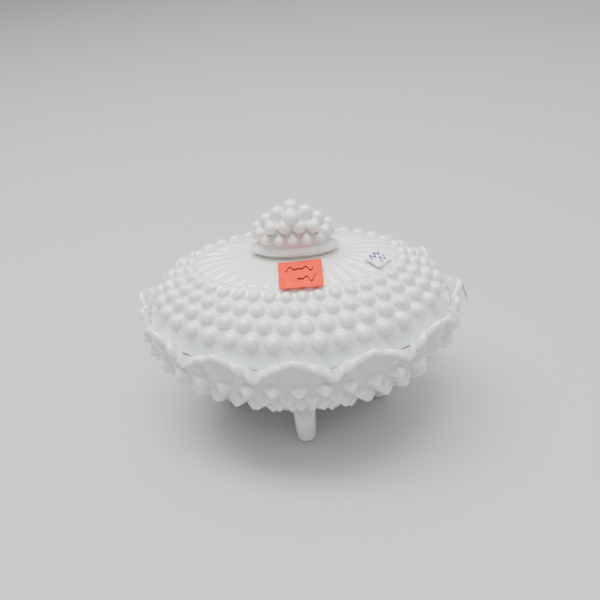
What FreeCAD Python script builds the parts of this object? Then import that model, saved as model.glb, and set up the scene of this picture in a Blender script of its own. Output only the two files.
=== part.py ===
"""Oval covered candy dish in pressed opal glass: a four-footed hobnail bowl with a scalloped rim,
a hobnail lid with a beaded knob, and three paper shop labels. Millimetres, +Z up, +X along the
oval's long axis, origin on the table under the middle of the bowl."""

import FreeCAD, Part
import bisect
import functools
import math
import os

from FreeCAD import Placement, Rotation, Vector

SIZES = {
    # plan of the oval: every ring's long half-axis is its short half-axis plus this much
    "oval_stretch": 27.5,
    # bowl
    "rim_half_width": 69.5, "rim_peak_z": 95.6, "notch_z": 84.0, "nick_depth": 1.6,
    "rim_wall": 4.2, "bowl_bottom_z": 27.0,
    "seat_z": 82.8, "seat_clearance": 0.9, "well_half_width": 59.8,
    "scallop_count": 12, "hob_count": 36, "bowl_hob_height": 5.6,
    # feet
    "foot_count": 4, "foot_radius": 7.2, "toe_radius": 6.5, "toe_fillet": 4.2,
    "foot_reach_long": 51.0, "foot_reach_short": 37.6, "foot_top_z": 39.5,
    # lid
    "lid_half_width": 63.4, "lid_edge_z": 83.1, "lid_edge_thickness": 3.0,
    "lid_hob_height": 4.2, "rib_height": 1.0,
    # knob
    "collar_half_length": 26.0, "collar_half_width": 10.8, "collar_z": 121.6, "collar_edge": 3.4,
    "knob_top_z": 153.3,
    # labels
    "label_thickness": 0.2,
    "price_label_width": 24.4, "price_label_length": 21.0, "price_label_corner": 0.5,
    "date_label_width": 13.6, "date_label_length": 11.4, "date_label_corner": 2.0,
    "rim_label_width": 9.0, "rim_label_length": 7.0, "rim_label_corner": 0.5,
}

doc = FreeCAD.newDocument("covered_candy_dish")
sheet = doc.addObject("Spreadsheet::Sheet", "sizes")
for row, (alias, value) in enumerate(SIZES.items(), start=1):
    sheet.set(f"A{row}", alias)
    sheet.set(f"B{row}", str(value))
    sheet.setAlias(f"B{row}", alias)
doc.recompute()


def size(alias):
    """The sheet's value of one driving dimension."""
    return float(getattr(sheet, alias))


STRETCH = size("oval_stretch")
HOBS = int(size("hob_count"))

# Inside walls as (short half-axis, height): the bowl's well from the seat down, and the lid's
# hollow from its edge up.
WELL_WALL = [(56.6, 63.8), (51.3, 55.0), (45.5, 47.5), (38.0, 42.5), (24.0, 40.5)]
LID_HOLLOW = [(55.9, 89.0), (51.4, 95.4), (45.2, 101.0), (38.6, 105.6), (31.2, 109.6),
              (21.5, 112.4), (10.0, 113.6)]
# Rows of hobnails as (short half-axis, height) of the wall at the row, from the top row down.
BOWL_ROWS = [(66.4, 72.9), (62.7, 62.9), (57.5, 53.4), (51.0, 45.3), (43.5, 38.3)]
LID_ROWS = [(36.0, 114.1), (43.1, 109.3), (49.9, 104.3), (56.2, 97.9)]


@functools.lru_cache(maxsize=None)
def arc_table(half):
    """Running length round an oval ring at 720 even steps, from the middle of the front side."""
    run = [0.0]
    for n in range(720):
        angle = 1.5 * math.pi + (n + 0.5) * math.pi / 360
        step = math.hypot((half + STRETCH) * math.sin(angle), half * math.cos(angle))
        run.append(run[-1] + step)
    return run


def on_oval(half, height, turn):
    """The point at a share of the way round an oval ring, measured along its edge."""
    run = arc_table(half)
    wanted = (turn % 1.0) * run[-1]
    n = min(bisect.bisect_right(run, wanted) - 1, 719)
    angle = 1.5 * math.pi + (n + (wanted - run[n]) / (run[n + 1] - run[n])) * math.pi / 360
    return Vector((half + STRETCH) * math.cos(angle), half * math.sin(angle), height)


def outward(half, turn):
    """The flat direction square to an oval ring at a share of the way round it."""
    place = on_oval(half, 0, turn)
    return Vector(place.x / (half + STRETCH) ** 2, place.y / half ** 2, 0).normalize()


def ring(half, height, count=2 * HOBS):
    """Points evenly round an oval, each as (share of the way round, point)."""
    return [(n / count, on_oval(half, height, n / count)) for n in range(count)]


def stitch(lower, upper):
    """Triangles between two closed rings of points, whatever the number of points in each."""
    triangles, low, high = [], 0, 0
    while low < len(lower) or high < len(upper):
        next_low = lower[(low + 1) % len(lower)][0] + (low + 1 >= len(lower))
        next_high = upper[(high + 1) % len(upper)][0] + (high + 1 >= len(upper))
        here, there = lower[low % len(lower)][1], upper[high % len(upper)][1]
        if high >= len(upper) or (low < len(lower) and next_low <= next_high):
            triangles.append((here, lower[(low + 1) % len(lower)][1], there))
            low += 1
        else:
            triangles.append((here, upper[(high + 1) % len(upper)][1], there))
            high += 1
    return triangles


def skin_through(rings):
    """Triangles of a wall that runs through one ring after another."""
    return [triangle for pair in zip(rings, rings[1:]) for triangle in stitch(*pair)]


def fan(edge, height):
    """Triangles from a flat ring to its middle."""
    middle = Vector(0, 0, height)
    return [(edge[n - 1][1], edge[n][1], middle) for n in range(len(edge))]


def studded_band(rows, rise):
    """Rows of staggered six-sided hobnails on a wall. Returns the triangles and the two zigzag
    edges of the band, the one beside the first row and the one beside the last."""
    def wall(place):
        n = min(max(int(math.floor(place)), 0), len(rows) - 2)
        return [a + (b - a) * (place - n) for a, b in zip(rows[n], rows[n + 1])]

    def corner(place, column):
        half, height = wall(place)
        return column / (2 * HOBS) % 1.0, on_oval(round(half, 6), height, column / (2 * HOBS))

    triangles = []
    for r in range(len(rows)):
        half, height = rows[r]
        (above, above_z), (below, below_z) = wall(r - 0.5), wall(r + 0.5)
        slope = Vector(above - below, 0, above_z - below_z).normalize()
        for c in range(r % 2, 2 * HOBS, 2):
            flat = outward(half, c / (2 * HOBS))
            normal = flat * abs(slope.z) + Vector(0, 0, -slope.x * math.copysign(1, slope.z))
            tip = on_oval(half, height, c / (2 * HOBS)) + normal * rise(r)
            hexagon = [corner(r + dr, c + dc)[1] for dr, dc in (
                (-2 / 3, 0), (-1 / 3, 1), (1 / 3, 1), (2 / 3, 0), (1 / 3, -1), (-1 / 3, -1))]
            triangles += [(hexagon[n - 1], hexagon[n], tip) for n in range(6)]
    last = len(rows) - 1
    first_edge = [corner(-1 / 3 if c % 2 else -2 / 3, c) for c in range(2 * HOBS)]
    last_edge = [corner(last + (2 / 3 if (c + last) % 2 == 0 else 1 / 3), c)
                 for c in range(2 * HOBS)]
    return triangles, first_edge, last_edge


def solid_of(name, triangles):
    """A document object holding the closed solid that a full set of triangles bounds."""
    index, points, facets = {}, [], []
    for triangle in triangles:
        corners = []
        for point in triangle:
            key = (round(point.x, 5), round(point.y, 5), round(point.z, 5))
            if key not in index:
                index[key] = len(points)
                points.append(point)
            corners.append(index[key])
        facets.append(tuple(corners))
    shell = Part.Shape()
    shell.makeShapeFromMesh((points, facets), 0.001, False)
    shell.sewShape()
    solid = Part.Solid(shell if shell.ShapeType == "Shell" else shell.Shells[0])
    if solid.Volume < 0:
        solid.reverse()
    held = doc.addObject("Part::Feature", name)
    held.Shape = solid
    return held


def scallop_height(turn):
    """Height of the rim's edge: twelve round scallops, each with five lobes and nicks between."""
    across = 2 * ((turn * size("scallop_count") + 0.5) % 1.0) - 1
    notch, peak = size("notch_z"), size("rim_peak_z")
    return notch + (peak - notch) * math.sqrt(max(0.0, 1 - abs(across) ** 2.4))


def rim_edge(half):
    """One closed edge of the rim, with a point at each lobe's top and at each nick."""
    scallops = int(size("scallop_count"))
    lobe_edges = (-1.0, -0.72, -0.29, 0.29, 0.72, 1.0)
    points = []
    for s in range(scallops):
        for start, end in zip(lobe_edges, lobe_edges[1:]):
            for across, drop in ((start, size("nick_depth")), ((start + end) / 2, 0.0)):
                turn = (s + 0.5 + across / 2) / scallops
                height = scallop_height(turn) - (drop if abs(across) < 1 else 0.0)
                points.append((turn, on_oval(half, height, turn)))
    return points


def bowl_skin():
    """The bowl's glass: studded outside, scalloped rim, flat seat for the lid, smooth well."""
    base = size("bowl_hob_height")
    hobs, top, bottom = studded_band(BOWL_ROWS, lambda r: base * (1 - 0.08 * r))
    rim, wall = size("rim_half_width"), size("rim_wall")
    outer, inner = rim_edge(rim), rim_edge(rim - wall)
    seat = ring(size("lid_half_width") + size("seat_clearance"), size("seat_z"))
    brink = ring(size("well_half_width"), size("seat_z"))
    well = [ring(half, height) for half, height in WELL_WALL]
    foot_ring = ring(32.5, size("bowl_bottom_z"))
    triangles = hobs + skin_through([top, outer, inner, seat, brink] + well)
    triangles += fan(well[-1], WELL_WALL[-1][1])
    triangles += stitch(bottom, foot_ring) + fan(foot_ring, size("bowl_bottom_z"))
    return solid_of("bowl_skin", triangles)


def lid_skin():
    """The lid's glass: thin edge, smooth skirt, studded dome, pleated ribs, smooth inside."""
    base = size("lid_hob_height")
    hobs, top, bottom = studded_band(LID_ROWS, lambda r: base * (0.7 + 0.1 * r))
    edge, half = size("lid_edge_z"), size("lid_half_width")
    rise = size("lid_edge_thickness")
    foot = ring(half, edge)
    lip = ring(half, edge + rise - 0.8)
    skirt = ring(half - 1.2, edge + rise)
    ribs = []
    for rib_half, height, share in ((30.0, 117.0, 1.0), (13.0, 119.0, 0.6)):
        ribs.append([(turn, point + Vector(0, 0, size("rib_height") * share * (n % 2)))
                     for n, (turn, point) in enumerate(ring(rib_half, height))])
    crown = ring(9.0, 119.6)
    hollow = [ring(inner_half, height) for inner_half, height in LID_HOLLOW]
    triangles = hobs + skin_through([bottom, skirt, lip, foot, ring(57.8, edge)] + hollow)
    triangles += fan(hollow[-1], LID_HOLLOW[-1][1])
    triangles += skin_through([top, *ribs, crown]) + fan(crown, 119.6)
    return solid_of("lid_skin", triangles)


def ellipse(name, half_long, half_short, height):
    """A flat ellipse at a height; its three sizes may be numbers or formulas of the sheet."""
    flat = doc.addObject("Part::Ellipse", name)
    flat.setExpression("MajorRadius", str(half_long))
    flat.setExpression("MinorRadius", str(half_short))
    flat.setExpression("Placement.Base.z", str(height))
    return flat


def loft(name, sections):
    """A solid through flat ellipses, each given as (long half-axis, short half-axis, height)."""
    made = doc.addObject("Part::Loft", name)
    made.Sections = [ellipse(f"{name}_ring{n}", *section) for n, section in enumerate(sections)]
    made.Solid = True
    made.Ruled = True
    return made


def fuse(name, shapes):
    made = doc.addObject("Part::MultiFuse", name)
    made.Shapes = shapes
    return made


def feet():
    """Four round legs, one on each side of the oval, each tapering to a rounded toe."""
    legs = []
    for n in range(int(size("foot_count"))):
        leg = doc.addObject("Part::Cone", f"leg{n}")
        leg.setExpression("Radius1", "sizes.toe_radius")
        leg.setExpression("Radius2", "sizes.foot_radius")
        leg.setExpression("Height", "sizes.foot_top_z")
        angle = n * math.pi / 2
        leg.Placement.Base = Vector(size("foot_reach_long") * math.cos(angle),
                                    size("foot_reach_short") * math.sin(angle), 0)
        doc.recompute()
        toe = 1 + min(range(len(leg.Shape.Edges)),
                      key=lambda e, shape=leg.Shape: shape.Edges[e].BoundBox.ZMax)
        foot = doc.addObject("Part::Fillet", f"foot{n}")
        foot.Base = leg
        foot.Edges = [(toe, size("toe_fillet"), size("toe_fillet"))]
        legs.append(foot)
    return legs


def make_bowl():
    bowl = fuse("bowl", [bowl_skin()] + feet())
    bowl.Label = "bowl"
    return bowl


def knob():
    """The lid's knob: a boat-shaped collar on a neck, and the heap that its beads form."""
    collar = loft("knob_collar", [
        (27.3, 13.9, 117.4),
        ("sizes.collar_half_length - 1", "sizes.collar_half_width - 1", "sizes.collar_z - 1"),
        ("sizes.collar_half_length", "sizes.collar_half_width",
         "sizes.collar_z + 0.4 * sizes.collar_edge"),
        ("sizes.collar_half_length - 0.8", "sizes.collar_half_width - 0.8",
         "sizes.collar_z + sizes.collar_edge"),
        (20.0, 8.4, 129.0),
    ])
    heap = loft("knob_heap", [
        (18.0, 8.0, 128.4), (22.6, 10.8, 131.5), (22.4, 9.8, 137.0), (17.6, 9.2, 142.0),
        (11.0, 7.6, 147.0), (4.2, 4.2, 150.6), (2.4, 2.4, "sizes.knob_top_z"),
    ])
    return [collar, heap]


def make_lid():
    lid = fuse("lid", [lid_skin()] + knob())
    lid.Label = "lid"
    return lid


def make_label(name, centre, across, face):
    """A flat paper label with rounded corners, its back at a point, its face square to the
    face direction and its width along the across direction."""
    blank = doc.addObject("Part::Box", f"{name}_blank")
    blank.setExpression("Length", f"sizes.{name}_width")
    blank.setExpression("Width", f"sizes.{name}_length")
    blank.setExpression("Height", "sizes.label_thickness")
    doc.recompute()
    corner = size(f"{name}_corner")
    rounded = doc.addObject("Part::Fillet", name)
    rounded.Base = blank
    rounded.Edges = [(n, corner, corner) for n, edge in enumerate(blank.Shape.Edges, start=1)
                     if abs(edge.tangentAt(edge.FirstParameter).z) > 0.99]
    turn = Rotation(across, face.cross(across), face, "ZXY")
    middle = Vector(size(f"{name}_width") / 2, size(f"{name}_length") / 2, 0)
    rounded.Placement = Placement(centre - turn.multVec(middle), turn)
    rounded.Label = name
    return rounded


def make_labels():
    return [
        make_label("price_label", Vector(3.6, -23.9, 119.7), Vector(1, 0.045, 0),
                   Vector(0.0, -0.17, 1)),
        make_label("date_label", Vector(46.8, -10.6, 118.8), Vector(0.62, 0.78, -0.03),
                   Vector(0.10, -0.12, 1)),
        make_label("rim_label", Vector(98.2, -3.0, 88.0), Vector(0.06, 1, 0),
                   Vector(1, -0.06, -0.20)),
    ]


def check_and_write(parts):
    """Stops on any failed object or bad shape, then writes one STEP file per piece."""
    doc.recompute()
    failed = [o.Label for o in doc.Objects if "Invalid" in o.State or "Error" in o.State]
    if failed:
        raise SystemExit(f"failed objects: {failed}")
    os.makedirs("parts", exist_ok=True)
    for part in parts:
        shape = part.Shape
        if shape.isNull() or not shape.isValid():
            raise SystemExit(f"{part.Label} has a bad shape")
        shape.exportStep(f"parts/{part.Label}.step")
        print(f"{part.Label}: {len(shape.Solids)} solid, {len(shape.Faces)} faces, "
              f"{shape.Volume / 1000:.1f} cm3, {shape.BoundBox}")


check_and_write([make_bowl(), make_lid()] + make_labels())
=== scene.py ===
"""Looks of the oval covered candy dish: opal glass bowl and lid, beaded knob and paper labels.

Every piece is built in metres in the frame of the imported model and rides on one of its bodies.
"""
import logging
import math
from dataclasses import dataclass, field
from enum import Enum

import bmesh
import bpy
import numpy as np
from mathutils import Matrix, Vector


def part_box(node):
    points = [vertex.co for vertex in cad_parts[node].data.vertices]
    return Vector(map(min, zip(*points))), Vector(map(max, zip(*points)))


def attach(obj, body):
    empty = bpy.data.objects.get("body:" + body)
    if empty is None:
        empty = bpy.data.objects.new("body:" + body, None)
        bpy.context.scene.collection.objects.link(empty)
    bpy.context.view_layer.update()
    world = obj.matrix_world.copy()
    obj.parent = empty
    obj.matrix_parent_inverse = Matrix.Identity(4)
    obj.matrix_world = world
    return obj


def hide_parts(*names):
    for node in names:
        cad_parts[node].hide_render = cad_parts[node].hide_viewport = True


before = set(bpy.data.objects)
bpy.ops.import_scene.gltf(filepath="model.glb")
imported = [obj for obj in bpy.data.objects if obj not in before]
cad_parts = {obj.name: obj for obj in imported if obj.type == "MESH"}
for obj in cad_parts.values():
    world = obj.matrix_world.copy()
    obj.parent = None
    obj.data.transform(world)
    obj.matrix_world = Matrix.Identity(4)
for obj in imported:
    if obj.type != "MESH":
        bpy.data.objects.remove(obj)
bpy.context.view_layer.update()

log = logging.getLogger("candy_dish")

MM = 0.001
HOBS = 36
SCALLOPS = 12


class Body(Enum):
    """The two bodies of the dish that come apart."""

    BOWL = "bowl"
    LID = "lid"


class Slot(Enum):
    """Material slots."""

    GLASS = "opal_glass"
    ORANGE = "orange_paper"
    WHITE = "white_paper"


# ---------------------------------------------------------------- shapes


@dataclass(frozen=True)
class OvalPlan:
    """The dish's plan: rings whose long half-axis is the short one plus a stretch.

    Attributes:
        stretch: how much longer the long half-axis is, millimetres.
        pinch: short half-axis inside which the stretch falls away to nothing.
    """

    stretch: float = 27.0
    pinch: float = 14.0

    def half_long(self, half: np.ndarray) -> np.ndarray:
        """Long half-axes of rings.

        Args:
            half: short half-axes in millimetres.

        Returns:
            Long half-axes, drawn in to nothing at the middle of the dish.
        """
        return half + self.stretch * np.clip(half / self.pinch, 0.0, 1.0)

    def places(self, half: np.ndarray, turns: np.ndarray) -> tuple[np.ndarray, np.ndarray, np.ndarray]:
        """Points spaced evenly along the edge of each ring, from the middle of the front.

        Args:
            half: short half-axis of each ring.
            turns: shares of the way round, 0 to 1.

        Returns:
            x and y of every point, ring by ring, and each ring's length.
        """
        angle = 1.5 * math.pi + np.linspace(0.0, 2 * math.pi, 1025)
        xs, ys, lengths = [], [], []
        for short, long in zip(half, self.half_long(half)):
            step = np.hypot(np.diff(long * np.cos(angle)), np.diff(short * np.sin(angle)))
            run = np.concatenate(([0.0], np.cumsum(step)))
            found = np.interp(turns * run[-1], run, angle) if run[-1] > 0 else angle[0] + 0 * turns
            xs.append(long * np.cos(found))
            ys.append(short * np.sin(found))
            lengths.append(run[-1])
        return np.array(xs), np.array(ys), np.array(lengths)


@dataclass(frozen=True)
class Stretch:
    """One stretch of a wall's section.

    Attributes:
        points: (short half-axis, height) points that the section passes through, millimetres.
        rows: number of mesh rows along it.
    """

    points: tuple[tuple[float, float], ...]
    rows: int

    def path(self) -> np.ndarray:
        """Evenly spaced points on a smooth curve through the stretch's points."""
        knots = np.array(self.points, dtype=float)
        ends = np.vstack((2 * knots[0] - knots[1], knots, 2 * knots[-1] - knots[-2]))
        t = np.linspace(0.0, 1.0, 24, endpoint=False)[:, None]
        curve = []
        for a, b, c, d in zip(ends, ends[1:], ends[2:], ends[3:]):
            curve.append(b + 0.5 * t * (c - a + t * (2 * a - 5 * b + 4 * c - d
                                                     + t * (3 * b - 3 * c + d - a))))
        dense = np.vstack(curve + [knots[-1:]])
        run = np.concatenate(([0.0], np.cumsum(np.hypot(*np.diff(dense, axis=0).T))))
        even = np.linspace(0.0, run[-1], self.rows + 1)
        return np.column_stack([np.interp(even, run, dense[:, n]) for n in (0, 1)])


def whole_section(stretches: tuple[Stretch, ...]) -> np.ndarray:
    """Joins stretches that share their end points into one section."""
    parts = [stretch.path() for stretch in stretches]
    return np.vstack([parts[0]] + [part[1:] for part in parts[1:]])


@dataclass(frozen=True)
class HobRow:
    """A row of hobnails round a wall.

    Attributes:
        half: short half-axis of the wall at the row.
        height: height of the wall at the row.
        radius: radius of a hobnail's foot.
        rise: how far a hobnail stands out.
        phase: shift along the row in pitches, 0 for a hobnail at the middle of the front.
    """

    half: float
    height: float
    radius: float
    rise: float
    phase: float


class HobForm(Enum):
    """The two forms of hobnail."""

    POINTED = "pointed"
    ROUND = "round"


def hob_lift(form: HobForm, row: HobRow, distance: np.ndarray) -> np.ndarray:
    """How far a hobnail lifts the wall at a distance from its middle.

    Args:
        form: pointed or round.
        row: the hobnail's row.
        distance: distances from the hobnail's middle, millimetres.

    Returns:
        Lift in millimetres, at most the row's rise.
    """
    if form is HobForm.POINTED:
        blunt = 0.24 * row.radius
        slant = np.sqrt(distance ** 2 + blunt ** 2) - blunt
        return row.rise * (1.0 - slant / (row.radius - blunt * 0.8))
    ball = (row.radius ** 2 + row.rise ** 2) / (2.0 * row.rise)
    beyond = np.clip(distance / ball - 1.0, 0.0, 2.0)
    return np.sqrt(np.maximum(0.0, ball ** 2 - distance ** 2)) - (ball - row.rise) - 4.0 * beyond


def soft_floor(lift: np.ndarray, softness: float = 0.28) -> np.ndarray:
    """Eases a lift into the wall where it falls to nothing."""
    return softness * np.log1p(np.exp(np.clip(lift / softness, -30.0, 60.0)))


def sheet_solid(name: str, places: np.ndarray, masks: dict[str, np.ndarray]) -> bpy.types.Object:
    """A closed solid made of a grid rolled up round the vertical.

    Args:
        name: name of the piece.
        places: row by column by xyz positions in metres; the first and last rows are points.
        masks: named values for each row and column, kept as attributes of the mesh.

    Returns:
        The piece, linked to the scene.
    """
    rows, columns = places.shape[:2]
    form = bmesh.new()
    bmesh.ops.create_grid(form, x_segments=columns, y_segments=rows - 1, size=1.0)
    layers = {mask: form.verts.layers.float.new(mask) for mask in masks}
    form.verts.ensure_lookup_table()
    for vert in form.verts:
        column = round((vert.co.x + 1.0) / 2.0 * columns) % columns
        row = round((vert.co.y + 1.0) / 2.0 * (rows - 1))
        vert.co = places[row, column]
        for mask, layer in layers.items():
            vert[layer] = float(masks[mask][row, column])
    bmesh.ops.remove_doubles(form, verts=form.verts, dist=1e-6)
    bmesh.ops.dissolve_degenerate(form, edges=form.edges, dist=1e-7)
    bmesh.ops.recalc_face_normals(form, faces=form.faces)
    return finished(name, form)


def finished(name: str, form: bmesh.types.BMesh) -> bpy.types.Object:
    """Turns a bmesh into a smooth-shaded piece at the origin and frees the bmesh."""
    mesh = bpy.data.meshes.new(name)
    form.to_mesh(mesh)
    form.free()
    mesh.polygons.foreach_set("use_smooth", [True] * len(mesh.polygons))
    piece = bpy.data.objects.new(name, mesh)
    bpy.context.scene.collection.objects.link(piece)
    return piece


def baked(piece: bpy.types.Object) -> bpy.types.Object:
    """Applies a piece's modifiers to its mesh."""
    graph = bpy.context.evaluated_depsgraph_get()
    mesh = bpy.data.meshes.new_from_object(piece.evaluated_get(graph))
    piece.modifiers.clear()
    piece.data = mesh
    mesh.polygons.foreach_set("use_smooth", [True] * len(mesh.polygons))
    return piece


def surface_normals(places: np.ndarray) -> np.ndarray:
    """Outward normals of a rolled-up grid whose section runs up the outside first."""
    across = np.roll(places, -1, axis=1) - np.roll(places, 1, axis=1)
    along = np.gradient(places, axis=0)
    normal = np.cross(across, along)
    length = np.linalg.norm(normal, axis=2, keepdims=True)
    return normal / np.maximum(length, 1e-12)


@dataclass(frozen=True)
class ScallopedEdge:
    """The rim's edge: round scallops, each with five lobes parted by nicks.

    Attributes:
        peak: height of a scallop's top.
        notch_inside: height at the bottom of a notch on the inner side of the rim.
        notch_outside: the same on the outer side, where the notch is cut lower.
        foot: height below which the wall doesn't follow the scallops.
        lobe_rise: how far a lobe bulges over its nicks.
        shift: how far round the scallops sit from the hobnails, in scallops.
        lobe_edges: where the lobes meet, from a scallop's middle outward, in half scallops.
    """

    peak: float = 95.8
    notch_inside: float = 84.4
    notch_outside: float = 77.4
    foot: float = 76.1
    lobe_rise: float = 3.2
    shift: float = -0.045
    lobe_edges: tuple[float, ...] = (-1.0, -0.76, -0.40, 0.40, 0.76, 1.0)

    def across(self, turns: np.ndarray) -> np.ndarray:
        """Places along a scallop, -1 and 1 at its notches, for shares of the way round."""
        return 2.0 * ((turns * SCALLOPS - self.shift + 0.5) % 1.0) - 1.0

    def lobe(self, turns: np.ndarray) -> np.ndarray:
        """How full a lobe is at each share of the way round, 0 at a nick and 1 at its middle."""
        across = self.across(turns)
        full = np.zeros_like(across)
        for start, end in zip(self.lobe_edges, self.lobe_edges[1:]):
            gone = np.abs(across - (start + end) / 2) / ((end - start) / 2)
            full = np.maximum(full, 1.0 - gone ** 2.2)
        return full

    def height(self, turns: np.ndarray, outside: np.ndarray) -> np.ndarray:
        """Height of the edge.

        Args:
            turns: shares of the way round.
            outside: for each mesh row, 1 on the outer side of the rim and 0 on the inner side.

        Returns:
            Heights, row by row.
        """
        arch = np.maximum(0.0, 1.0 - np.abs(self.across(turns)) ** 1.35)[None, :] ** 0.8
        notch = self.notch_inside + (self.notch_outside - self.notch_inside) * outside[:, None]
        body = notch + (self.peak - self.lobe_rise - notch) * arch
        return body + self.lobe_rise * self.lobe(turns)[None, :] * (0.35 + 0.65 * arch)


@dataclass
class GlassWall:
    """A pressed wall: a section carried round the oval, with rows of hobnails pressed on it.

    Attributes:
        stretches: the section's stretches, in order.
        hob_rows: the rows of hobnails.
        hob_form: the form of every hobnail.
        columns: number of mesh columns round the wall.
        plan: the wall's plan.
    """

    stretches: tuple[Stretch, ...]
    hob_rows: tuple[HobRow, ...]
    hob_form: HobForm
    columns: int = 540
    plan: OvalPlan = field(default_factory=OvalPlan)

    def lay_out(self) -> None:
        """Works out the plain wall: section, ring lengths and positions in millimetres."""
        self.section = whole_section(self.stretches)
        self.turns = np.arange(self.columns) / self.columns
        x, y, self.lengths = self.plan.places(self.section[:, 0], self.turns)
        z = np.repeat(self.section[:, 1:2], self.columns, axis=1)
        self.places = np.stack([x, y, z], axis=2)

    def hob_field(self, last_row: int) -> np.ndarray:
        """Lift of the hobnails on the outer part of the wall.

        Args:
            last_row: mesh row where the outside of the wall ends.

        Returns:
            Lift in millimetres for every row and column.
        """
        run = np.concatenate(([0.0], np.cumsum(np.hypot(*np.diff(self.section, axis=0).T))))
        lift = np.full(self.places.shape[:2], -3.0)
        for row in self.hob_rows:
            outside = self.section[:last_row]
            nearest = int(np.argmin(np.hypot(outside[:, 0] - row.half, outside[:, 1] - row.height)))
            shift = self.turns * HOBS - row.phase
            aside = (shift - np.round(shift))[None, :] * self.lengths[:, None] / HOBS
            along = (run - run[nearest])[:, None]
            lift = np.maximum(lift, hob_lift(self.hob_form, row, np.hypot(aside, along)))
        lift[last_row:] = -3.0
        return soft_floor(lift)


@dataclass
class Bowl:
    """The footed bowl: pointed hobnails outside, scalloped rim, seat for the lid, smooth well.

    Attributes:
        edge: the rim's edge.
        plan: the bowl's plan.
        flute_depth: how far the rim bulges out at a lobe, millimetres.
        mean_half: middling half-axis of the rim, which turns that depth into a share of it.
        mean_lobe: the lobe fullness at which the rim neither bulges nor draws in.
        rim_inside: short half-axis inside which the wall doesn't follow the scallops.
        foot_places: x and y of the feet.
        foot_radius: radius of a foot at its top.
        toe_radius: radius of a foot at the table.
        toe_round: how far a toe is rounded.
        foot_top: height of a foot.
    """

    edge: ScallopedEdge = field(default_factory=ScallopedEdge)
    plan: OvalPlan = field(default_factory=lambda: OvalPlan(stretch=28.3))
    flute_depth: float = 2.4
    mean_half: float = 75.0
    mean_lobe: float = 0.7
    rim_inside: float = 61.0
    foot_places: tuple[tuple[float, float], ...] = (
        (51.0, 0.0), (0.0, 37.6), (-51.0, 0.0), (0.0, -37.6))
    foot_radius: float = 7.2
    toe_radius: float = 6.5
    toe_round: float = 4.6
    foot_top: float = 39.5

    def wall(self) -> GlassWall:
        """The bowl's section from the middle of its underside, over the rim, to its floor."""
        stretches = (
            Stretch(((0.0, 27.0), (18.0, 27.0), (29.5, 27.3)), 6),
            Stretch(((29.5, 27.3), (35.4, 30.4), (43.5, 38.3), (51.0, 45.3), (57.5, 53.4), (62.7, 62.9),
                     (66.4, 72.9), (68.3, 81.6), (69.2, 88.6), (69.6, 93.6)), 92),
            Stretch(((69.6, 93.6), (69.1, 95.1), (67.7, 95.8), (66.3, 95.1), (65.8, 93.6)), 7),
            Stretch(((65.8, 93.6), (65.2, 88.6), (64.5, 85.0), (64.0, 83.4), (62.5, 82.7)), 12),
            Stretch(((62.5, 82.7), (60.8, 82.4), (59.6, 80.4), (58.8, 74.0), (56.6, 64.0), (51.3, 55.0),
                     (45.5, 47.5), (38.0, 42.5), (24.0, 40.5), (12.0, 40.2), (0.0, 40.2)), 36),
        )
        rows = (
            HobRow(66.4, 72.9, 5.6, 5.8, 0.0), HobRow(62.7, 62.9, 5.8, 5.6, 0.5),
            HobRow(57.5, 53.4, 5.7, 5.2, 0.0), HobRow(51.0, 45.3, 5.3, 4.8, 0.5),
            HobRow(43.5, 38.3, 4.8, 4.4, 0.0), HobRow(36.2, 30.9, 4.0, 3.2, 0.5),
        )
        return GlassWall(stretches, rows, HobForm.POINTED, plan=self.plan)

    def build(self) -> bpy.types.Object:
        """Presses the bowl and returns it."""
        wall = self.wall()
        wall.lay_out()
        places, turns = wall.places, wall.turns
        ends = np.cumsum([stretch.rows for stretch in wall.stretches])
        outer_side = np.interp(np.arange(len(places)), [ends[1], ends[2]], [1.0, 0.0])
        foot = np.where(outer_side > 0.5, self.edge.foot, self.edge.notch_inside - 1.6)
        rise = (wall.section[:, 1] - foot) / (self.edge.peak - foot)
        above = (np.clip(rise, 0.0, None) * (wall.section[:, 0] > self.rim_inside))[:, None]
        places[:, :, 2] -= above * (self.edge.peak - self.edge.height(turns, outer_side))
        fade = np.clip(above * 2.0, 0.0, 1.0)
        bulge = (self.edge.lobe(turns) - self.mean_lobe)[None, :]
        swell = 1.0 + fade * self.flute_depth * bulge / self.mean_half
        places[:, :, 0] *= swell
        places[:, :, 1] *= swell
        outside = sum(stretch.rows for stretch in wall.stretches[:2])
        lift = wall.hob_field(outside)
        calm = 1.0 - 0.95 * np.clip(above * 2.4 - 0.2, 0.0, 1.0)
        places += surface_normals(places) * (lift * calm)[:, :, None]
        # Painted shade mask: 1 wherever no hobnail lifts the outer wall, between the hobnails and over the
        # plain lobes; the material darkens the glass there.
        valley_shade = np.clip(1.0 - lift / 3.0, 0.0, 1.0) * (np.arange(len(lift)) < outside)[:, None]
        return sheet_solid("glass_bowl", places * MM, {"valley_shade": valley_shade})

    def build_feet(self) -> bpy.types.Object:
        """Makes the four moulded feet, each a round peg with a rounded toe."""
        form = bmesh.new()
        for x, y in self.foot_places:
            made = bmesh.ops.create_cone(
                form, cap_ends=True, segments=48, radius1=self.toe_radius * MM,
                radius2=self.foot_radius * MM, depth=self.foot_top * MM,
                matrix=Matrix.Translation((x * MM, y * MM, self.foot_top * MM / 2)))
            edges = dict.fromkeys(edge for vert in made["verts"] for edge in vert.link_edges)
            toe = [edge for edge in edges if all(vert.co.z < 1e-4 for vert in edge.verts)]
            bmesh.ops.bevel(form, geom=toe, offset=self.toe_round * MM, segments=9, profile=0.5,
                            affect="EDGES", material=-1)
        bmesh.ops.recalc_face_normals(form, faces=form.faces)
        return finished("bowl_feet", form)


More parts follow.
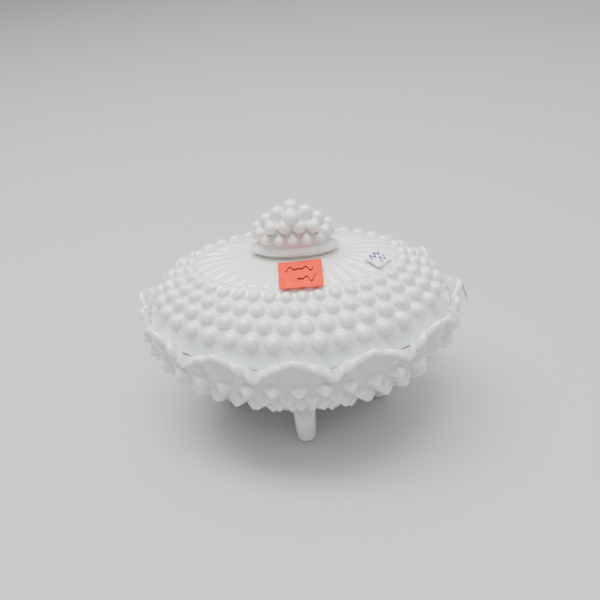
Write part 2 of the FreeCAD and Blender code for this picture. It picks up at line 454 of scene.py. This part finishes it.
@dataclass
class Lid:
    """The lid: thin smooth skirt, rows of round hobnails, ribs up to the knob, smooth inside.

    Attributes:
        ribs: number of ribs round the crown.
        rib_rise: how far a rib stands up, millimetres.
    """

    ribs: int = 36
    rib_rise: float = 1.0

    def wall(self) -> GlassWall:
        """The lid's section from the middle of its crown, out over the edge, to its inside."""
        stretches = (
            Stretch(((0.0, 119.8), (8.0, 119.6), (16.0, 118.9)), 6),
            Stretch(((16.0, 118.9), (25.0, 117.6), (32.0, 115.6)), 18),
            Stretch(((32.0, 115.6), (36.0, 114.1), (43.1, 109.3), (49.9, 104.3), (56.2, 97.9),
                     (58.8, 93.6)), 58),
            Stretch(((58.8, 93.6), (60.2, 90.4), (62.0, 87.6), (63.2, 86.2), (63.5, 85.0), (63.2, 83.8),
                     (62.3, 83.3)), 14),
            Stretch(((62.3, 83.3), (59.8, 83.8), (57.6, 86.6), (55.4, 90.0), (51.2, 95.4), (45.2, 100.9),
                     (38.6, 105.4), (31.0, 109.4), (21.5, 112.2), (10.0, 113.6), (0.0, 113.8)), 22),
        )
        rows = (
            HobRow(56.2, 97.9, 4.6, 3.5, 0.0), HobRow(49.9, 104.3, 4.5, 3.4, 0.5),
            HobRow(43.1, 109.3, 4.1, 3.1, 0.0), HobRow(36.3, 113.9, 3.4, 2.3, 0.5),
        )
        return GlassWall(stretches, rows, HobForm.ROUND, columns=720)

    def build(self) -> bpy.types.Object:
        """Presses the lid and returns it."""
        wall = self.wall()
        wall.lay_out()
        places, turns, half = wall.places, wall.turns, wall.section[:, 0]
        rows = np.arange(len(half))
        outside = sum(stretch.rows for stretch in wall.stretches[:3])
        lift = wall.hob_field(outside)
        across = np.abs((turns * self.ribs + 0.5) % 1.0 - 0.5)[None, :] * 2.0
        reach = np.clip((half - 11.0) / 9.0, 0.0, 1.0) * np.clip((33.6 - half) / 2.2, 0.0, 1.0)
        ridge = np.maximum(0.0, 1.0 - (across / 0.82) ** 2) ** 0.7
        lift = lift + (self.rib_rise * reach * (rows < outside))[:, None] * ridge
        places -= surface_normals(places) * lift[:, :, None]
        # Painted shade mask: 1 where no hobnail lifts the lid's outer wall below the ribs; the material
        # darkens the glass there.
        valley_shade = np.clip(1.0 - lift / 2.4, 0.0, 1.0) * ((rows < outside) & (half > 33.0))[:, None]
        skirt = np.clip(1.0 - np.abs(places[:, :, 2] - 87.8) / 6.5, 0.0, 1.0)
        return sheet_solid("glass_lid", places * MM, {"valley_shade": valley_shade, "skirt": skirt})


@dataclass
class Knob:
    """The lid's knob: a boat-shaped collar with a heap of glass beads on it.

    Attributes:
        collar_long: long half-axis of the collar, millimetres.
        collar_short: its short half-axis.
        collar_z: height that the collar's rings are laid about.
        point_long: long half-axis of the oval that the small pointed hobnails stand on.
        point_short: its short half-axis.
        grain: size of the cells that the beads are melted together in.
    """

    collar_long: float = 26.0
    collar_short: float = 10.8
    collar_z: float = 121.8
    point_long: float = 21.5
    point_short: float = 8.6
    grain: float = 0.45

    def beads(self) -> list[tuple[float, float, float, float]]:
        """Middle and radius of every bead, in millimetres."""
        found = [(0.0, 0.0, 147.9, 4.8)]
        for end in (-1, 1):
            found += [(end * x, 0.0, z, r) for x, z, r in (
                (7.8, 144.9, 4.2), (14.2, 141.2, 4.0), (19.6, 137.0, 3.9))]
        for side in (-1, 1):
            found.append((0.0, side * 4.6, 143.8, 5.4))
            found += [(end * x, side * y, z, r) for end in (-1, 1) for x, y, z, r in (
                (4.0, 7.0, 139.6, 3.9), (11.8, 5.8, 139.0, 3.8), (18.0, 4.0, 135.0, 3.4))]
        return found

    def points(self) -> list[tuple[float, float]]:
        """Places of the small pointed hobnails round the foot of the heap, in millimetres."""
        front = [(x, -math.sqrt(1.0 - (x / self.point_long) ** 2) * self.point_short)
                 for x in (-15.0, -7.5, 0.0, 7.5, 15.0)]
        return front + [(x, -y) for x, y in front] + [(-20.4, 0.0), (20.4, 0.0)]

    def oval_drum(self, form: bmesh.types.BMesh, rings: tuple[tuple[float, float, float], ...]) -> None:
        """Adds a closed drum through oval rings.

        Args:
            form: the bmesh that gets the drum.
            rings: (long half-axis, short half-axis, height) from the bottom up, millimetres.
        """
        loops = []
        for long, short, height in rings:
            oval = Matrix.Diagonal((long * MM, short * MM, 1, 1))
            made = bmesh.ops.create_circle(form, cap_ends=False, segments=96, radius=1.0,
                                           matrix=Matrix.Translation((0, 0, height * MM)) @ oval)
            loops.append(list(dict.fromkeys(edge for vert in made["verts"] for edge in vert.link_edges)))
        for lower, upper in zip(loops, loops[1:]):
            bmesh.ops.bridge_loops(form, edges=lower + upper)
        bmesh.ops.holes_fill(form, edges=loops[0] + loops[-1], sides=0)

    def build(self) -> bpy.types.Object:
        """Fuses the collar and the beads softly into one piece and returns it."""
        form = bmesh.new()
        long, short, z = self.collar_long, self.collar_short, self.collar_z
        self.oval_drum(form, (
            (long - 3.6, short - 2.6, z - 6.0), (long - 4.4, short - 3.6, z - 1.6),
            (long - 1.4, short - 1.1, z + 0.6), (long, short, z + 1.9),
            (long - 0.4, short - 0.4, z + 2.8), (21.2, 8.2, 127.0), (19.8, 7.0, 130.6),
            (15.6, 6.2, 139.0), (8.0, 4.6, 144.0), (3.0, 2.4, 147.0)))
        for x, y in self.points():
            bmesh.ops.create_icosphere(form, subdivisions=3, radius=3.2 * MM,
                                       matrix=Matrix.Translation((x * MM, y * MM, 131.9 * MM)))
            bmesh.ops.create_cone(form, cap_ends=True, segments=24, radius1=2.4 * MM, radius2=0.3 * MM,
                                  depth=2.4 * MM, matrix=Matrix.Translation((x * MM, y * MM, 135.0 * MM)))
        for x, y, height, radius in self.beads():
            bmesh.ops.create_icosphere(form, subdivisions=3, radius=radius * MM,
                                       matrix=Matrix.Translation((x * MM, y * MM, height * MM)))
        bmesh.ops.recalc_face_normals(form, faces=form.faces)
        knob = finished("glass_knob", form)
        remesh = knob.modifiers.new("melt", "REMESH")
        remesh.mode, remesh.voxel_size = "VOXEL", self.grain * MM
        soften = knob.modifiers.new("soften", "SMOOTH")
        soften.factor, soften.iterations = 0.5, 3
        return baked(knob)


@dataclass
class PaperLabel:
    """A stuck-on paper label, laid where its solid is, with a slight curl.

    Attributes:
        name: the piece's name.
        node: the solid that it stands for.
        width: size along its own across direction, millimetres.
        length: size along the other direction.
        across: its across direction.
        face: the direction its face looks.
        corner: radius of its corners.
        curl: how far its free corner lifts.
        peel: how far its lower edge stands off.
        crown: how far its middle stands off.
        stand_off: how far the whole label stands off.
        thickness: thickness of the paper.
    """

    name: str
    node: str
    width: float
    length: float
    across: tuple[float, float, float]
    face: tuple[float, float, float]
    corner: float
    curl: float
    peel: float = 0.0
    crown: float = 0.0
    stand_off: float = 0.0
    thickness: float = 0.16

    def build(self) -> bpy.types.Object:
        """Cuts the label, curls it and lays it in place."""
        low, high = (Vector(corner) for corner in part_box(self.node))
        side = Vector(self.across).normalized()
        face = Vector(self.face)
        face = (face - side * face.dot(side)).normalized()
        up = face.cross(side)
        form = bmesh.new()
        form.loops.layers.uv.new("UVMap")
        bmesh.ops.create_grid(form, x_segments=28, y_segments=24, size=0.5, calc_uvs=True)
        half = Vector((self.width / 2, self.length / 2))
        middle = (low + high) / 2
        for vert in form.verts:
            x, y = vert.co.x * self.width, vert.co.y * self.length
            spare = Vector((max(0.0, abs(x) - half.x + self.corner),
                            max(0.0, abs(y) - half.y + self.corner)))
            if spare.x > 0 and spare.y > 0:
                reach = max(spare.x, spare.y) / spare.length
                x -= math.copysign(spare.x * (1.0 - reach), x)
                y -= math.copysign(spare.y * (1.0 - reach), y)
            lift = self.stand_off + self.curl * max(0.0, (x / half.x + y / half.y) / 2.0) ** 3
            lift += 0.12 * math.sin(x * 0.9) * (0.5 - y / self.length)
            lift += self.peel * (0.5 - y / self.length) ** 2 + self.crown * (1.0 - (y / half.y) ** 2)
            vert.co = middle + (side * x + up * y + face * lift) * MM
        bmesh.ops.recalc_face_normals(form, faces=form.faces)
        if sum((f.normal.dot(face) for f in form.faces)) < 0:
            bmesh.ops.reverse_faces(form, faces=form.faces)
        bmesh.ops.solidify(form, geom=form.faces, thickness=self.thickness * MM)
        bmesh.ops.recalc_face_normals(form, faces=form.faces)
        return finished(self.name, form)


# ---------------------------------------------------------------- finishes


def new_group(name: str, inputs: dict[str, tuple[str, object]], outputs: dict[str, str]) -> tuple:
    """Starts a shader node group.

    Args:
        name: the group's name.
        inputs: socket name to (socket type, default value or None).
        outputs: socket name to socket type.

    Returns:
        The group, its input node and its output node.
    """
    group = bpy.data.node_groups.new(name, "ShaderNodeTree")
    for socket, (kind, value) in inputs.items():
        made = group.interface.new_socket(socket, in_out="INPUT", socket_type=kind)
        if value is not None:
            made.default_value = value
    for socket, kind in outputs.items():
        group.interface.new_socket(socket, in_out="OUTPUT", socket_type=kind)
    return group, group.nodes.new("NodeGroupInput"), group.nodes.new("NodeGroupOutput")


def handling_marks() -> bpy.types.NodeTree:
    """A group for fine smears and dust: broad and fine noise mixed to a mask and a height."""
    group, given, put = new_group(
        "handling_marks",
        {"Broad Scale": ("NodeSocketFloat", 40.0), "Fine Scale": ("NodeSocketFloat", 600.0)},
        {"Mask": "NodeSocketFloat", "Height": "NodeSocketFloat"})
    coords = group.nodes.new("ShaderNodeTexCoord")
    broad, fine = (group.nodes.new("ShaderNodeTexNoise") for _ in range(2))
    broad.inputs["Detail"].default_value = 3.0
    fine.inputs["Detail"].default_value = 5.0
    spread = group.nodes.new("ShaderNodeMapRange")
    spread.inputs["From Min"].default_value, spread.inputs["From Max"].default_value = 0.35, 0.7
    for noise, scale in ((broad, "Broad Scale"), (fine, "Fine Scale")):
        group.links.new(coords.outputs["Object"], noise.inputs["Vector"])
        group.links.new(given.outputs[scale], noise.inputs["Scale"])
    group.links.new(broad.outputs["Fac"], spread.inputs["Value"])
    group.links.new(spread.outputs["Result"], put.inputs["Mask"])
    group.links.new(fine.outputs["Fac"], put.inputs["Height"])
    return group


def pen_strokes() -> bpy.types.NodeTree:
    """A group for two short wavy pen strokes on a label, from its own UV map."""
    group, given, put = new_group(
        "pen_strokes",
        {"Turns": ("NodeSocketFloat", 9.0), "Weight": ("NodeSocketFloat", 0.03)},
        {"Mask": "NodeSocketFloat"})
    links, nodes = group.links, group.nodes

    def math_node(kind: str, first, second=None) -> bpy.types.NodeSocket:
        """Adds one math node and returns its result."""
        node = nodes.new("ShaderNodeMath")
        node.operation = kind
        for slot, value in enumerate((first, second)):
            if isinstance(value, bpy.types.NodeSocket):
                links.new(value, node.inputs[slot])
            elif value is not None:
                node.inputs[slot].default_value = value
        return node.outputs[0]

    place = nodes.new("ShaderNodeUVMap")
    place.uv_map = "UVMap"
    parts = nodes.new("ShaderNodeSeparateXYZ")
    links.new(place.outputs["UV"], parts.inputs["Vector"])
    u, v = parts.outputs["X"], parts.outputs["Y"]
    total = None
    for middle_v, start, end, tall in ((0.70, 0.16, 0.80, 0.10), (0.32, 0.42, 0.84, 0.12)):
        turned = math_node("MULTIPLY", u, given.outputs["Turns"])
        swing = math_node("SINE", math_node("MULTIPLY", turned, 6.283))
        slower = math_node("SINE", math_node("MULTIPLY", math_node("ADD", u, 0.31), 23.0))
        wander = math_node("MULTIPLY", math_node("ADD", swing, slower), tall / 2)
        gap = math_node("ABSOLUTE", math_node("SUBTRACT", math_node("SUBTRACT", v, middle_v), wander))
        line = math_node("LESS_THAN", gap, given.outputs["Weight"])
        inside = math_node("MULTIPLY", math_node("GREATER_THAN", u, start), math_node("LESS_THAN", u, end))
        stroke = math_node("MULTIPLY", line, inside)
        total = stroke if total is None else math_node("MAXIMUM", total, stroke)
    links.new(total, put.inputs["Mask"])
    return group


@dataclass(frozen=True)
class OpalGlass:
    """White opal glass: deep soft white, glossy, thin parts a little green, with painted shade darkening
    its outer wall where no hobnail stands out.
    """

    name: str = "opal_glass_look"
    body: tuple[float, float, float] = (0.91, 0.90, 0.865)
    thin: tuple[float, float, float] = (0.68, 0.83, 0.76)
    # Colour of the painted shade on the outer wall between the hobnails.
    hollow_shade: tuple[float, float, float] = (0.68, 0.66, 0.62)
    gloss: float = 0.06

    def material(self, marks: bpy.types.NodeTree, tinted: bool) -> bpy.types.Material:
        """Builds the material.

        Args:
            marks: the handling marks group.
            tinted: whether the piece has a thin skirt to tint.

        Returns:
            The finished material.
        """
        made = bpy.data.materials.new(self.name + ("_lid" if tinted else ""))
        made.use_nodes = True
        nodes, links = made.node_tree.nodes, made.node_tree.links
        shader = nodes["Principled BSDF"]
        shader.inputs["IOR"].default_value = 1.62
        shader.inputs["Subsurface Weight"].default_value = 0.2
        shader.inputs["Subsurface Radius"].default_value = (1.0, 1.0, 0.9)
        shader.inputs["Subsurface Scale"].default_value = 0.0025
        shader.inputs["Coat Weight"].default_value = 1.0
        shader.inputs["Coat Roughness"].default_value = 0.06
        smears = nodes.new("ShaderNodeGroup")
        smears.node_tree = marks
        smears.inputs["Broad Scale"].default_value = 55.0
        smears.inputs["Fine Scale"].default_value = 900.0
        # Painted shade: darkens the glass by the valley mask, 0.8 of the way on the bowl and 0.15 on the
        # lid.
        colour = self.mixed(made, self.body, self.hollow_shade, "valley_shade", 0.15 if tinted else 0.8)
        if tinted:
            colour = self.mixed(made, colour, self.thin, "skirt", 0.85)
        links.new(colour, shader.inputs["Base Color"])
        rough = nodes.new("ShaderNodeMapRange")
        rough.inputs["To Min"].default_value = self.gloss
        rough.inputs["To Max"].default_value = self.gloss + 0.08
        links.new(smears.outputs["Mask"], rough.inputs["Value"])
        links.new(rough.outputs["Result"], shader.inputs["Roughness"])
        bump = nodes.new("ShaderNodeBump")
        bump.inputs["Strength"].default_value = 0.06
        bump.inputs["Distance"].default_value = 0.0002
        links.new(smears.outputs["Height"], bump.inputs["Height"])
        links.new(bump.outputs["Normal"], shader.inputs["Normal"])
        return made

    def mixed(self, made: bpy.types.Material, base: object, other: tuple, mask: str,
              share: float) -> bpy.types.NodeSocket:
        """Mixes a colour into another by a named attribute of the mesh.

        Args:
            made: the material that gets the nodes.
            base: a colour, or the socket of one.
            other: the colour mixed in.
            mask: name of the attribute.
            share: how much of the other colour a full mask gives.

        Returns:
            The mixed colour's socket.
        """
        nodes, links = made.node_tree.nodes, made.node_tree.links
        read = nodes.new("ShaderNodeAttribute")
        read.attribute_name = mask
        scaled = nodes.new("ShaderNodeMath")
        scaled.operation = "MULTIPLY"
        scaled.inputs[1].default_value = share
        mix = nodes.new("ShaderNodeMix")
        mix.data_type = "RGBA"
        links.new(read.outputs["Fac"], scaled.inputs[0])
        links.new(scaled.outputs[0], mix.inputs["Factor"])
        if isinstance(base, bpy.types.NodeSocket):
            links.new(base, mix.inputs["A"])
        else:
            mix.inputs["A"].default_value = (*base, 1.0)
        mix.inputs["B"].default_value = (*other, 1.0)
        return mix.outputs["Result"]


@dataclass(frozen=True)
class LabelPaper:
    """Label paper with a faint mottle and short strokes of pen on it, and an optional painted glow that
    makes it emit its own colour.
    """

    name: str
    paper: tuple[float, float, float]
    ink: tuple[float, float, float]
    stroke_turns: float
    stroke_weight: float
    painted_glow: float = 0.0

    def material(self, marks: bpy.types.NodeTree, strokes: bpy.types.NodeTree) -> bpy.types.Material:
        """Builds the material from the marks and strokes groups."""
        made = bpy.data.materials.new(self.name)
        made.use_nodes = True
        nodes, links = made.node_tree.nodes, made.node_tree.links
        shader = nodes["Principled BSDF"]
        shader.inputs["Specular IOR Level"].default_value = 0.3
        # Painted glow: the paper emits its own colour, so it reads brighter than its lighting makes it.
        shader.inputs["Emission Strength"].default_value = self.painted_glow
        mottle = nodes.new("ShaderNodeGroup")
        mottle.node_tree = marks
        mottle.inputs["Broad Scale"].default_value = 180.0
        mottle.inputs["Fine Scale"].default_value = 3000.0
        tone = nodes.new("ShaderNodeMix")
        tone.data_type = "RGBA"
        tone.inputs["A"].default_value = (*self.paper, 1.0)
        tone.inputs["B"].default_value = (*(channel * 0.9 for channel in self.paper), 1.0)
        links.new(mottle.outputs["Mask"], tone.inputs["Factor"])
        pen = nodes.new("ShaderNodeGroup")
        pen.node_tree = strokes
        pen.inputs["Turns"].default_value = self.stroke_turns
        pen.inputs["Weight"].default_value = self.stroke_weight
        inked = nodes.new("ShaderNodeMix")
        inked.data_type = "RGBA"
        inked.inputs["B"].default_value = (*self.ink, 1.0)
        links.new(pen.outputs["Mask"], inked.inputs["Factor"])
        links.new(tone.outputs["Result"], inked.inputs["A"])
        links.new(inked.outputs["Result"], shader.inputs["Base Color"])
        links.new(inked.outputs["Result"], shader.inputs["Emission Color"])
        rough = nodes.new("ShaderNodeMapRange")
        rough.inputs["To Min"].default_value, rough.inputs["To Max"].default_value = 0.55, 0.75
        links.new(mottle.outputs["Mask"], rough.inputs["Value"])
        links.new(rough.outputs["Result"], shader.inputs["Roughness"])
        bump = nodes.new("ShaderNodeBump")
        bump.inputs["Strength"].default_value = 0.15
        bump.inputs["Distance"].default_value = 0.0001
        links.new(mottle.outputs["Height"], bump.inputs["Height"])
        links.new(bump.outputs["Normal"], shader.inputs["Normal"])
        return made


def plain_material(name: str, colour: tuple[float, float, float], roughness: float) -> bpy.types.Material:
    """A plain matt material for the stage."""
    made = bpy.data.materials.new(name)
    made.use_nodes = True
    shader = made.node_tree.nodes["Principled BSDF"]
    shader.inputs["Base Color"].default_value = (*colour, 1.0)
    shader.inputs["Roughness"].default_value = roughness
    return made


# ---------------------------------------------------------------- stage


@dataclass
class Studio:
    """Pale floor, soft lights, and the camera."""

    target: tuple[float, float, float] = (0.0, 0.0, 0.0478)
    distance: float = 0.3814
    elevation: float = 40.4
    azimuth: float = -3.4
    roll: float = -4.8
    lens: float = 34.6
    shift: tuple[float, float] = (-0.0042, 0.076)

    def lay_stage(self) -> None:
        """Makes the floor."""
        form = bmesh.new()
        bmesh.ops.create_grid(form, x_segments=1, y_segments=1, size=4.0)
        floor = finished("floor", form)
        floor.data.materials.append(plain_material("floor_paint", (0.55, 0.542, 0.55), 0.6))

    def hang_lights(self) -> None:
        """Hangs soft lights over and in front of the dish and sets a pale world."""
        world = bpy.data.worlds.new("pale_room")
        world.use_nodes = True
        world.node_tree.nodes["Background"].inputs["Color"].default_value = (0.95, 0.97, 1.0, 1.0)
        world.node_tree.nodes["Background"].inputs["Strength"].default_value = 0.32
        bpy.context.scene.world = world
        for name, place, size, power in (
                ("overhead_tubes", (-0.22, 0.05, 1.3), (0.36, 1.2), 19.0),
                ("ceiling", (0.1, 0.1, 1.5), (3.0, 2.6), 40.0),
                ("front_fill", (-0.3, -1.2, 0.7), (0.5, 0.5), 0.4)):
            lamp = bpy.data.lights.new(name, "AREA")
            lamp.shape = "RECTANGLE"
            lamp.size, lamp.size_y = size
            lamp.energy = power
            held = bpy.data.objects.new(name, lamp)
            held.location = place
            held.rotation_euler = (Vector((0, 0, 0.08)) - Vector(place)).to_track_quat("-Z", "Y").to_euler()
            bpy.context.scene.collection.objects.link(held)

    def set_camera(self) -> None:
        """Sets the camera in front of the dish, looking down at it with a slight tilt."""
        lens = bpy.data.cameras.new("camera")
        lens.lens = self.lens
        lens.shift_x, lens.shift_y = self.shift
        lens.clip_start = 0.01
        camera = bpy.data.objects.new("camera", lens)
        rise, swing = math.radians(self.elevation), math.radians(self.azimuth)
        away = Vector((-math.sin(swing) * math.cos(rise), -math.cos(swing) * math.cos(rise),
                       math.sin(rise)))
        place = Vector(self.target) + away * self.distance
        turn = (-away).to_track_quat("-Z", "Y").to_matrix().to_4x4()
        tilt = Matrix.Rotation(math.radians(self.roll), 4, "Z")
        camera.matrix_world = Matrix.Translation(place) @ turn @ tilt
        bpy.context.scene.collection.objects.link(camera)
        bpy.context.scene.camera = camera


def place_piece(piece: bpy.types.Object, body: Body, slot: Slot, material: bpy.types.Material,
                *nodes: str) -> None:
    """Dresses a piece, puts it on its body and lets it stand for solids.

    Args:
        piece: the finished piece.
        body: the body it rides on.
        slot: the slot for its finish; not used.
        material: its material.
        nodes: the solids it stands for.
    """
    piece.data.materials.clear()
    piece.data.materials.append(material)
    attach(piece, body.value)
    if nodes:
        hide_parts(*nodes)
    log.info("%s: %d faces", piece.name, len(piece.data.polygons))


def main() -> None:
    """Builds the pieces in order, sets the stage and finishes."""
    logging.basicConfig(level=logging.INFO, format="%(name)s %(message)s")
    marks, strokes = handling_marks(), pen_strokes()
    glass = OpalGlass()
    plain_glass, lid_glass = glass.material(marks, False), glass.material(marks, True)
    bowl, lid = Bowl(), Lid()
    place_piece(bowl.build(), Body.BOWL, Slot.GLASS, plain_glass, "bowl")
    place_piece(bowl.build_feet(), Body.BOWL, Slot.GLASS, plain_glass)
    place_piece(lid.build(), Body.LID, Slot.GLASS, lid_glass, "lid")
    place_piece(Knob().build(), Body.LID, Slot.GLASS, plain_glass)

    # The orange paper has a painted glow of 0.1.
    orange = LabelPaper("orange_label", (0.93, 0.04, 0.0), (0.03, 0.005, 0.005), 5.0, 0.034, 0.1)
    white = LabelPaper("white_label", (0.93, 0.93, 0.96), (0.02, 0.03, 0.26), 4.0, 0.075)
    shaded = LabelPaper("shaded_label", (0.60, 0.62, 0.76), (0.02, 0.03, 0.26), 3.0, 0.12)
    labels = (
        (PaperLabel("orange_price_label", "price_label", width=24.4, length=21.0,
                    across=(1, 0.045, 0), face=(0, -0.17, 1), corner=0.4, curl=0.9, crown=0.3),
         Body.LID, Slot.ORANGE, orange),
        (PaperLabel("white_date_label", "date_label", width=13.6, length=11.4,
                    across=(0.62, 0.78, -0.03), face=(0.12, -0.36, 1), corner=2.0, curl=0.3,
                    stand_off=0.9),
         Body.LID, Slot.WHITE, white),
        (PaperLabel("white_rim_label", "rim_label", width=9.0, length=7.0,
                    across=(0.06, 1, 0), face=(1, -0.06, -0.2), corner=0.5, curl=0.6, peel=4.2,
                    stand_off=1.2),
         Body.BOWL, Slot.WHITE, shaded),
    )
    for label, body, slot, paper in labels:
        place_piece(label.build(), body, slot, paper.material(marks, strokes), label.node)

    studio = Studio()
    studio.lay_stage()
    studio.hang_lights()
    studio.set_camera()


if __name__ == "__main__":
    main()
